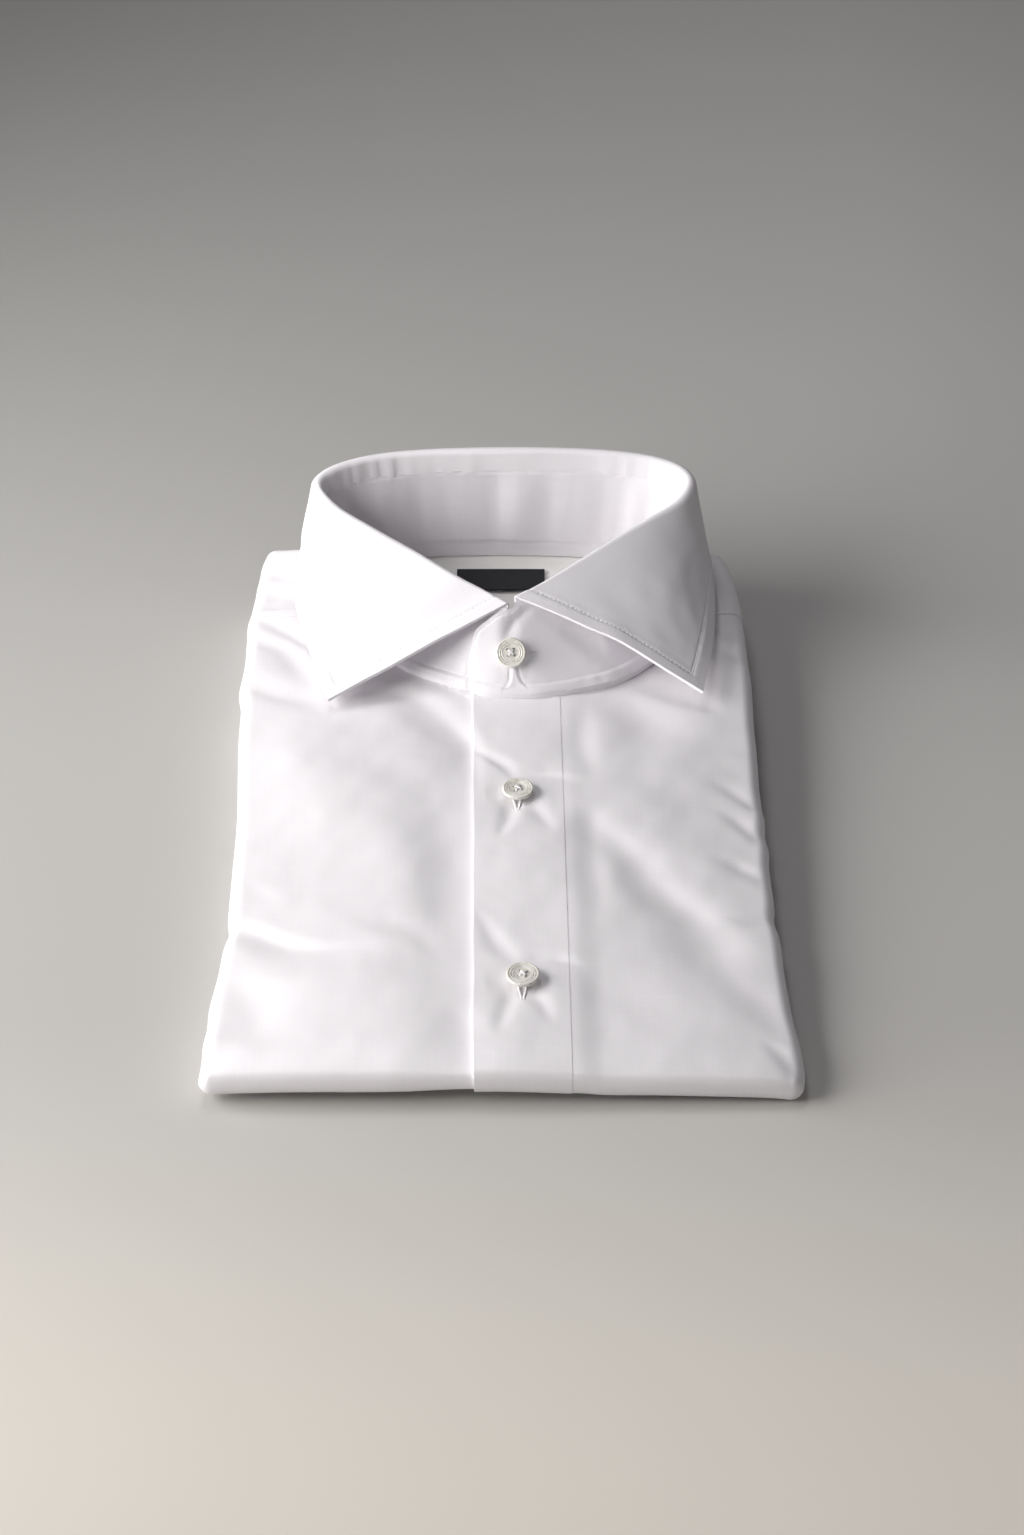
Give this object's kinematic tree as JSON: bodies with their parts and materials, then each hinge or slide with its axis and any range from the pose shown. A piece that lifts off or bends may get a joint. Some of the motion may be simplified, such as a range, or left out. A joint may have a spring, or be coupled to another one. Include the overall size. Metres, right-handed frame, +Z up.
{
  "type": "folded dress shirt",
  "caption": "Folded long-sleeved dress shirt lying flat, buttoned, with a standing spread collar and a front placket.",
  "frame": {"origin": "middle of the whole, on the surface that the shirt lies on", "axes": "+X to the wearer's left across the shirt, +Y from the front fold to the collar, +Z up"},
  "size_m": [0.2162, 0.3418, 0.0788],
  "materials": {
    "cotton": "crisp white cotton with a soft satin sheen",
    "label": "dark woven label, plain",
    "shell": "polished mother-of-pearl"
  },
  "bodies": {
    "root": {"folded_layers": "cotton", "right_front": "cotton", "left_front": "cotton", "front_placket": "cotton", "yoke": "cotton", "inner_yoke": "cotton", "collar_band": "cotton", "collar_leaf": "cotton", "neck_label": "label", "collar_button": "shell", "button_2": "shell", "button_3": "shell"}
  },
  "joints": []
}
